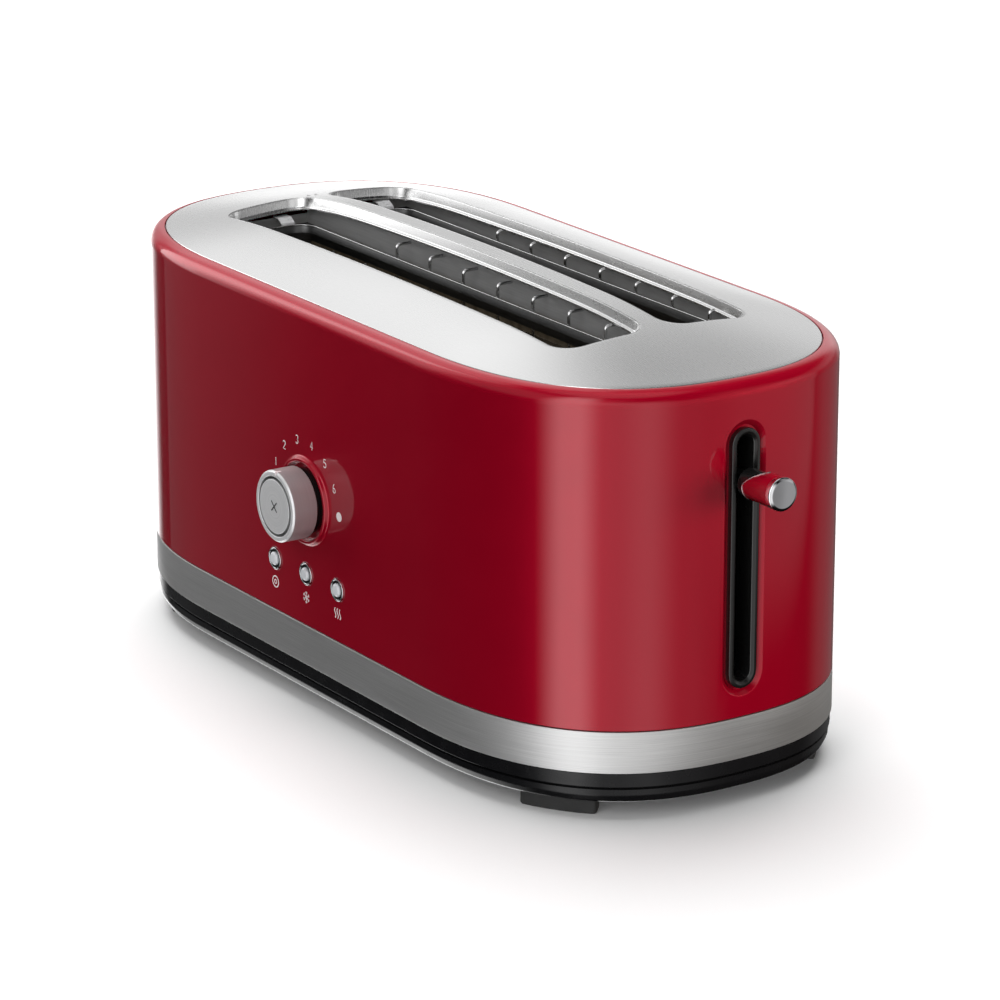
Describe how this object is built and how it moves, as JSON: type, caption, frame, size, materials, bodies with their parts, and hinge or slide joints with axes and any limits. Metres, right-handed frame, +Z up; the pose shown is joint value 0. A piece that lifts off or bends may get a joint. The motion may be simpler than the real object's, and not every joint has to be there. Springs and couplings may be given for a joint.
{
  "type": "pop up toaster",
  "caption": "Long rounded pop up toaster: enamelled body, domed steel lid with two long bread slots, dial and buttons in front, lift lever on one end, crumb tray behind.",
  "frame": {"origin": "middle of the bounding box seen from above, on the plane that the feet stand on", "axes": "+X along the body towards the lift lever, +Y from the dial face to the back, +Z up"},
  "size_m": [0.4202, 0.2054, 0.1974],
  "materials": {
    "shell_red": "gloss enamel on steel",
    "lid_steel": "satin stainless sheet",
    "band_steel": "stainless, brushed along its length",
    "dial_steel": "spun and polished stainless",
    "polished_metal": "polished",
    "base_black": "fine moulded texture",
    "trim_black": "gloss moulding",
    "foot_black": "matt",
    "button_grey": "pearl grey moulding",
    "inner_sheet": "aluminised steel sheet",
    "wire_steel": "plated wire",
    "mica_board": "mica sheet",
    "circuit_board": "solder mask",
    "magnet_winding": "enamelled copper",
    "lever_red": "gloss enamel"
  },
  "bodies": {
    "root": {"outer_shell": "shell_red", "top_plate": "lid_steel", "steel_band": "band_steel", "base": "base_black", "foot_front_right": "foot_black", "foot_rear_right": "foot_black", "foot_front_left": "foot_black", "foot_rear_left": "foot_black", "cord_gland": "trim_black", "base_screw_1": "polished_metal", "base_screw_2": "polished_metal", "base_screw_3": "polished_metal", "base_screw_4": "polished_metal", "chassis_end_left": "inner_sheet", "chassis_end_right": "inner_sheet", "front_reflector": "inner_sheet", "rear_reflector": "inner_sheet", "front_heater": "mica_board", "centre_heater": "mica_board", "rear_heater": "mica_board", "front_slot_liner": "inner_sheet", "rear_slot_liner": "inner_sheet", "guide_rod_front": "polished_metal", "guide_rod_rear": "polished_metal", "latch_magnet": "magnet_winding", "terminal_block": "button_grey", "lever_bezel": "trim_black", "lift_spring": "wire_steel", "dial_bushing": "trim_black", "browning_potentiometer": "trim_black", "cancel_switch": "trim_black", "control_board": "circuit_board", "control_board_bracket": "inner_sheet", "bagel_button_ring": "polished_metal", "bagel_switch": "trim_black", "defrost_button_ring": "polished_metal", "defrost_switch": "trim_black", "warm_button_ring": "polished_metal", "warm_switch": "trim_black"},
    "lever_carriage": {"carriage": "inner_sheet", "front_bread_rack": "wire_steel", "rear_bread_rack": "wire_steel", "latch_armature": "inner_sheet", "lever_arm": "inner_sheet", "lever_collar": "trim_black", "lever_knob": "lever_red", "lever_cap": "polished_metal"},
    "front_outer_guide": {"front_guide_outer": "wire_steel"},
    "front_inner_guide": {"front_guide_inner": "wire_steel"},
    "rear_inner_guide": {"rear_guide_inner": "wire_steel"},
    "rear_outer_guide": {"rear_guide_outer": "wire_steel"},
    "dial": {"browning_dial": "dial_steel"},
    "cancel": {"cancel_button": "dial_steel"},
    "bagel": {"bagel_button": "button_grey"},
    "defrost": {"defrost_button": "button_grey"},
    "warm": {"warm_button": "button_grey"},
    "tray": {"crumb_tray": "inner_sheet", "crumb_tray_handle": "band_steel"}
  },
  "joints": [
    {"name": "lever_slide", "type": "slide", "parent": "root", "child": "lever_carriage", "axis": [0, 0, 1], "range_m": [-0.075, 0.013], "stiffness_N_per_m": 55, "springref_m": 0.04083, "deforming": ["lift_spring"]},
    {"name": "front_inner_guide_swing", "type": "hinge", "parent": "root", "child": "front_inner_guide", "pos_m": [-0.01333, 0.0008, 0.1885], "axis": [1, 0, 0], "range_deg": [-2.6, 0.6]},
    {"name": "front_outer_guide_swing", "type": "hinge", "parent": "root", "child": "front_outer_guide", "pos_m": [-0.01333, -0.0439, 0.187], "axis": [-1, 0, 0], "range_deg": [-2.6, 0.6]},
    {"name": "rear_inner_guide_swing", "type": "hinge", "parent": "root", "child": "rear_inner_guide", "pos_m": [-0.01333, 0.007, 0.1885], "axis": [-1, 0, 0], "range_deg": [-2.6, 0.6]},
    {"name": "rear_outer_guide_swing", "type": "hinge", "parent": "root", "child": "rear_outer_guide", "pos_m": [-0.01333, 0.0517, 0.187], "axis": [1, 0, 0], "range_deg": [-2.6, 0.6]},
    {"name": "dial_turn", "type": "hinge", "parent": "root", "child": "dial", "pos_m": [-0.01333, -0.0911, 0.0965], "axis": [0, -1, 0], "range_deg": [-85, 95]},
    {"name": "cancel_press", "type": "slide", "parent": "root", "child": "cancel", "axis": [0, 1, 0], "range_m": [0, 0.002], "stiffness_N_per_m": 400},
    {"name": "bagel_press", "type": "slide", "parent": "root", "child": "bagel", "axis": [0, 1, 0], "range_m": [0, 0.0015], "stiffness_N_per_m": 300},
    {"name": "defrost_press", "type": "slide", "parent": "root", "child": "defrost", "axis": [0, 1, 0], "range_m": [0, 0.0015], "stiffness_N_per_m": 300},
    {"name": "warm_press", "type": "slide", "parent": "root", "child": "warm", "axis": [0, 1, 0], "range_m": [0, 0.0015], "stiffness_N_per_m": 300},
    {"name": "tray_slide", "type": "slide", "parent": "root", "child": "tray", "axis": [0, 1, 0], "range_m": [0, 0.15]}
  ],
  "couplings": [
    {"joint": "front_inner_guide_swing", "follows": "lever_slide", "rad_per_m": 0.58178},
    {"joint": "front_outer_guide_swing", "follows": "lever_slide", "rad_per_m": 0.58178},
    {"joint": "rear_inner_guide_swing", "follows": "lever_slide", "rad_per_m": 0.58178},
    {"joint": "rear_outer_guide_swing", "follows": "lever_slide", "rad_per_m": 0.58178}
  ]
}
